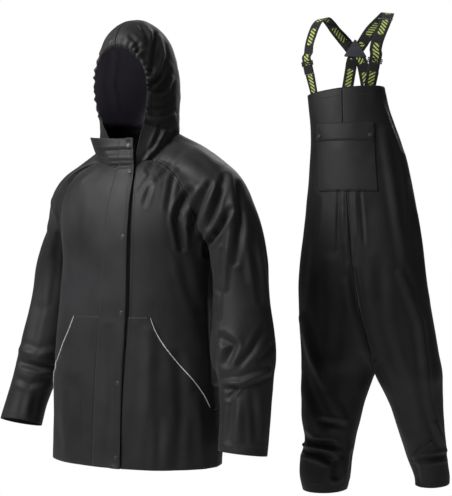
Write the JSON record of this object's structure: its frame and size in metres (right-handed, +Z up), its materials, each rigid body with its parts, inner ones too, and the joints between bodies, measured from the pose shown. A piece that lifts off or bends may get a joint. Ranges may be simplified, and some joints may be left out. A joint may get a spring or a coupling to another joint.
{
  "type": "rain suit: hooded rain jacket and bib-and-brace overalls",
  "caption": "Waterproof rain suit: hooded jacket with snapped storm flap and slanted pockets, beside bib overalls with chest pocket and elastic braces, hollow and filled out.",
  "frame": {"origin": "middle of the jacket's neck, where the wearer's neck holds it", "axes": "+Z up, +X to the viewer's right as the set is shown, +Y away from the viewer"},
  "size_m": [1.3691, 0.6051, 1.4253],
  "materials": {
    "coated_cloth": "matte coated fabric with a soft sheen",
    "pocket_cloth": "matte coated fabric with a soft sheen",
    "reflective_piping": "grey reflective piping",
    "snap_plastic": "satin black",
    "brace_webbing": "woven elastic",
    "loop_webbing": "woven tape",
    "patch": "matte leather-like sheet",
    "slider_metal": "bright metal"
  },
  "bodies": {
    "root": {"jacket_front_right": "coated_cloth", "jacket_front_left": "coated_cloth", "jacket_back": "coated_cloth", "jacket_sleeve_right": "coated_cloth", "jacket_sleeve_left": "coated_cloth", "jacket_pocket_right": "pocket_cloth", "jacket_pocket_left": "pocket_cloth", "jacket_piping_right": "reflective_piping", "jacket_piping_left": "reflective_piping", "jacket_hood_right": "coated_cloth", "jacket_hood_left": "coated_cloth", "jacket_collar": "coated_cloth", "jacket_storm_flap": "coated_cloth", "jacket_snap_1": "snap_plastic", "jacket_snap_2": "snap_plastic", "jacket_snap_3": "snap_plastic", "jacket_snap_4": "snap_plastic", "jacket_snap_5": "snap_plastic", "jacket_snap_6": "snap_plastic", "overalls_front_right": "coated_cloth", "overalls_front_left": "coated_cloth", "overalls_back_right": "coated_cloth", "overalls_back_left": "coated_cloth", "overalls_chest_pocket": "pocket_cloth", "overalls_pocket_flap": "pocket_cloth", "overalls_flap_snap_right": "snap_plastic", "overalls_flap_snap_left": "snap_plastic", "overalls_brace_right": "brace_webbing", "overalls_brace_left": "brace_webbing", "overalls_brace_lower_right": "brace_webbing", "overalls_brace_lower_left": "brace_webbing", "overalls_brace_loop_right": "loop_webbing", "overalls_brace_loop_left": "loop_webbing", "overalls_adjuster_right": "snap_plastic", "overalls_adjuster_left": "snap_plastic", "overalls_brace_slider": "slider_metal", "overalls_back_patch": "patch", "overalls_brace_rivet_1": "slider_metal", "overalls_brace_rivet_2": "slider_metal"}
  },
  "joints": []
}
